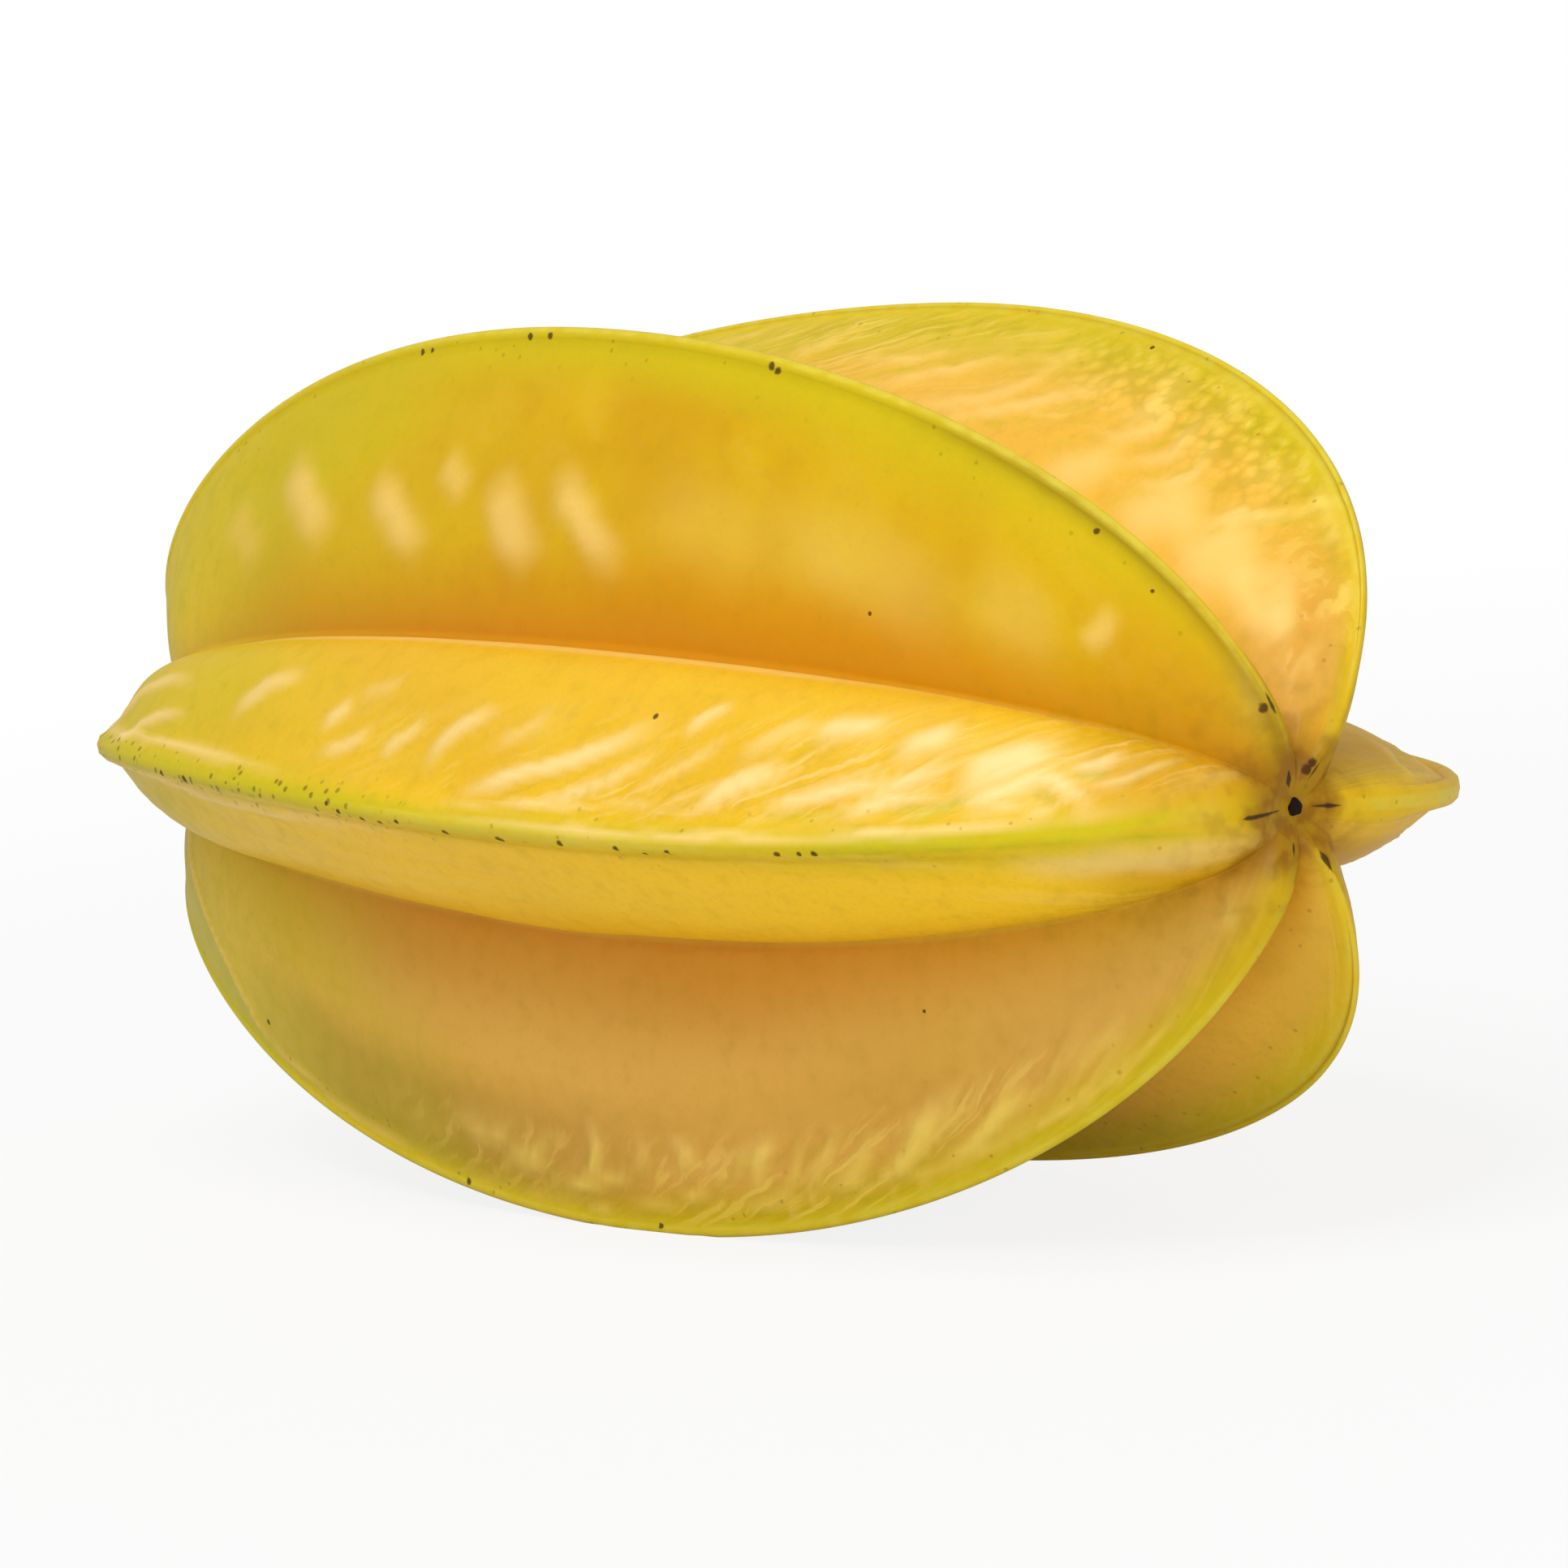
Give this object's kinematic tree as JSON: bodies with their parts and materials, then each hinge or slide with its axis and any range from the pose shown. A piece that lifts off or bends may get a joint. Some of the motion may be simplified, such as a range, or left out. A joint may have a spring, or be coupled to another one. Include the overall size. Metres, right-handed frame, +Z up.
{
  "type": "star fruit",
  "caption": "Whole ripe star fruit lying on its rib edges, a long body with deep grooves, blunt rib edges, a stem pit and a small dimple at the blossom end.",
  "frame": {"origin": "on the surface the fruit lies on, under the middle of its box", "axes": "+X along the fruit's axis towards the blossom end, +Z up, -Y towards the shallowest rib"},
  "size_m": [0.1224, 0.066, 0.0652],
  "materials": {
    "fruit_skin": "thin waxy skin, satin gloss, yellow with orange grooves, green-yellow rib edges and stem end, small brown marks"
  },
  "bodies": {
    "root": {"star_fruit": "fruit_skin"}
  },
  "joints": []
}
